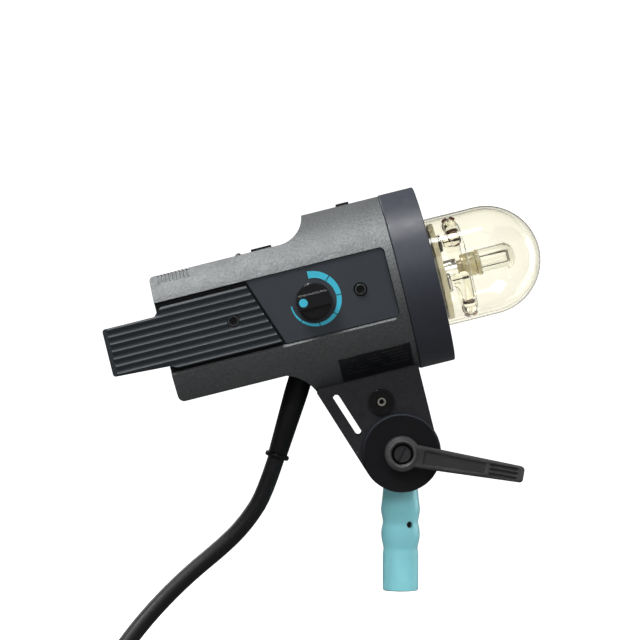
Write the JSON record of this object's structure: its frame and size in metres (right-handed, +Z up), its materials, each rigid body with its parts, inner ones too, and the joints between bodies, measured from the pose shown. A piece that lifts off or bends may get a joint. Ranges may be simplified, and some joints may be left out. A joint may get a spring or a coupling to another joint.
{
  "type": "monolight strobe",
  "caption": "Studio flash head with glass dome, ring flash tube and modelling lamp, rear handle, tilting stand bracket with clamping lever, stand socket and coiled lead.",
  "frame": {"origin": "centre of the stand socket's mouth, where the stand's spigot enters", "axes": "+Z up along the stand spigot, +X to the lamp's front, +Y to the lamp's left side (away from the power knob)"},
  "size_m": [0.4901, 0.2189, 0.4475],
  "materials": {
    "housing_powder": "fine textured powder coat",
    "cover_plastic": "fine texture",
    "collar_paint": "smooth satin",
    "panel_plastic": "satin",
    "grip_rubber": "ribbed matte",
    "black_plastic": "satin",
    "black_steel": "blackened",
    "bracket_paint": "satin",
    "lever_paint": "matt",
    "teal_ink": "satin print",
    "steel": "satin",
    "chrome": "polished",
    "brass": "polished",
    "blue_anodised": "satin anodised",
    "raw_aluminium": "milled",
    "cream_ceramic": "matt",
    "clear_glass": "straw tint",
    "tube_glass": "clear",
    "bulb_glass": "clear",
    "sleeve_red": "matt",
    "board_green": "solder mask",
    "capacitor_sleeve": "sleeve",
    "washer_plastic": "matt",
    "plate_dark": "blank plate",
    "lead_rubber": "matt sheath",
    "sensor_lens": "dark lens",
    "spring_steel": "wire"
  },
  "bodies": {
    "stand_mount": {"lead_run": "lead_rubber", "lead_coil": "lead_rubber", "lead_tail": "lead_rubber", "mains_plug": "lead_rubber", "plug_pins": "brass", "stand_socket": "blue_anodised", "socket_set_screw": "steel"},
    "head": {"main_housing": "housing_powder", "rear_cover": "cover_plastic", "sync_socket": "black_steel", "fan_frame": "black_plastic", "front_collar": "collar_paint", "front_plate": "raw_aluminium", "glass_dome": "clear_glass", "base_plate": "cream_ceramic", "flash_tube": "tube_glass", "tube_sleeves": "sleeve_red", "trigger_wire": "steel", "lamp_socket": "cream_ceramic", "lamp_cap": "chrome", "modelling_lamp": "bulb_glass", "lamp_filament": "steel", "chassis": "raw_aluminium", "capacitor_bank": "capacitor_sleeve", "power_board": "board_green", "trigger_coil": "black_plastic", "side_panel_right": "panel_plastic", "side_panel_left": "panel_plastic", "power_scale": "teal_ink", "power_potentiometer": "steel", "rear_handle": "grip_rubber", "handle_screws": "black_steel", "panel_screws": "black_steel", "photocell": "sensor_lens", "rating_plate": "plate_dark", "tilt_bracket": "bracket_paint", "bracket_screws": "steel", "bracket_bolt": "black_steel", "bracket_bolt_cups": "black_plastic", "tilt_disc": "bracket_paint", "tilt_disc_far": "bracket_paint", "friction_washers": "washer_plastic", "tilt_bolt": "steel", "cable_boot": "lead_rubber", "lead_drop": "lead_rubber"},
    "fuse_cap": {"fuse_cap": "black_plastic"},
    "test_button": {"test_button": "black_plastic"},
    "power_switch": {"power_switch": "black_plastic"},
    "fan_rotor": {"fan_rotor": "black_plastic"},
    "power_knob": {"power_knob": "black_plastic", "knob_dot": "teal_ink"},
    "release_button": {"release_button": "black_plastic"},
    "model_switch": {"model_switch": "black_plastic"},
    "lever_insert": {"lever_insert": "steel", "lever_screw": "black_steel", "lever_spring": "spring_steel"},
    "tilt_lever": {"tilt_lever": "lever_paint"},
    "clamp_pad": {"clamp_pad": "brass"},
    "clamp_screw": {"clamp_screw": "steel", "clamp_knob": "black_plastic"}
  },
  "joints": [
    {"name": "head_tilt", "type": "hinge", "parent": "stand_mount", "child": "head", "pos_m": [0, 0, 0.1027], "axis": [0, 1, 0], "range_deg": [-60, 104]},
    {"name": "lever_turn", "type": "hinge", "parent": "head", "child": "lever_insert", "pos_m": [0, -0.035, 0.1027], "axis": [0, -1, 0], "range_deg": [0, 60]},
    {"name": "lever_lift", "type": "slide", "parent": "lever_insert", "child": "tilt_lever", "axis": [0, -1, 0], "range_m": [0, 0.0025], "stiffness_N_per_m": 1500, "springref_m": -0.001, "deforming": ["lever_spring"]},
    {"name": "power_turn", "type": "hinge", "parent": "head", "child": "power_knob", "pos_m": [-0.06377, -0.066, 0.21336], "axis": [0, -1, 0], "range_deg": [0, 270]},
    {"name": "release_press", "type": "slide", "parent": "head", "child": "release_button", "axis": [0.2419, 0, -0.9703], "range_m": [0, 0.0015], "stiffness_N_per_m": 1200, "springref_m": -0.001},
    {"name": "model_rock", "type": "hinge", "parent": "head", "child": "model_switch", "pos_m": [-0.10201, 0, 0.24835], "axis": [0, 1, 0], "range_deg": [-5, 5]},
    {"name": "power_rock", "type": "hinge", "parent": "head", "child": "power_switch", "pos_m": [-0.15932, 0, 0.15058], "axis": [-0.2419, 0, 0.9703], "range_deg": [0, 6]},
    {"name": "test_press", "type": "slide", "parent": "head", "child": "test_button", "axis": [0.9703, 0, 0.2419], "range_m": [0, 0.0015], "stiffness_N_per_m": 800, "springref_m": -0.001},
    {"name": "fuse_turn", "type": "hinge", "parent": "head", "child": "fuse_cap", "pos_m": [-0.1788, 0.02, 0.22044], "axis": [-0.9703, 0, -0.2419], "range_deg": [0, 90]},
    {"name": "fan_spin", "type": "hinge", "parent": "head", "child": "fan_rotor", "pos_m": [-0.1565, 0, 0.1889], "axis": [0.9703, 0, 0.2419], "continuous": true},
    {"name": "pad_press", "type": "slide", "parent": "stand_mount", "child": "clamp_pad", "axis": [0, -1, 0], "range_m": [0, 0.00225]},
    {"name": "clamp_turn", "type": "hinge", "parent": "clamp_pad", "child": "clamp_screw", "pos_m": [0, 0.027, 0.018], "axis": [0, -1, 0], "range_deg": [0, 540]}
  ],
  "couplings": [
    {"joint": "clamp_turn", "follows": "pad_press", "rad_per_m": 4188.7}
  ]
}
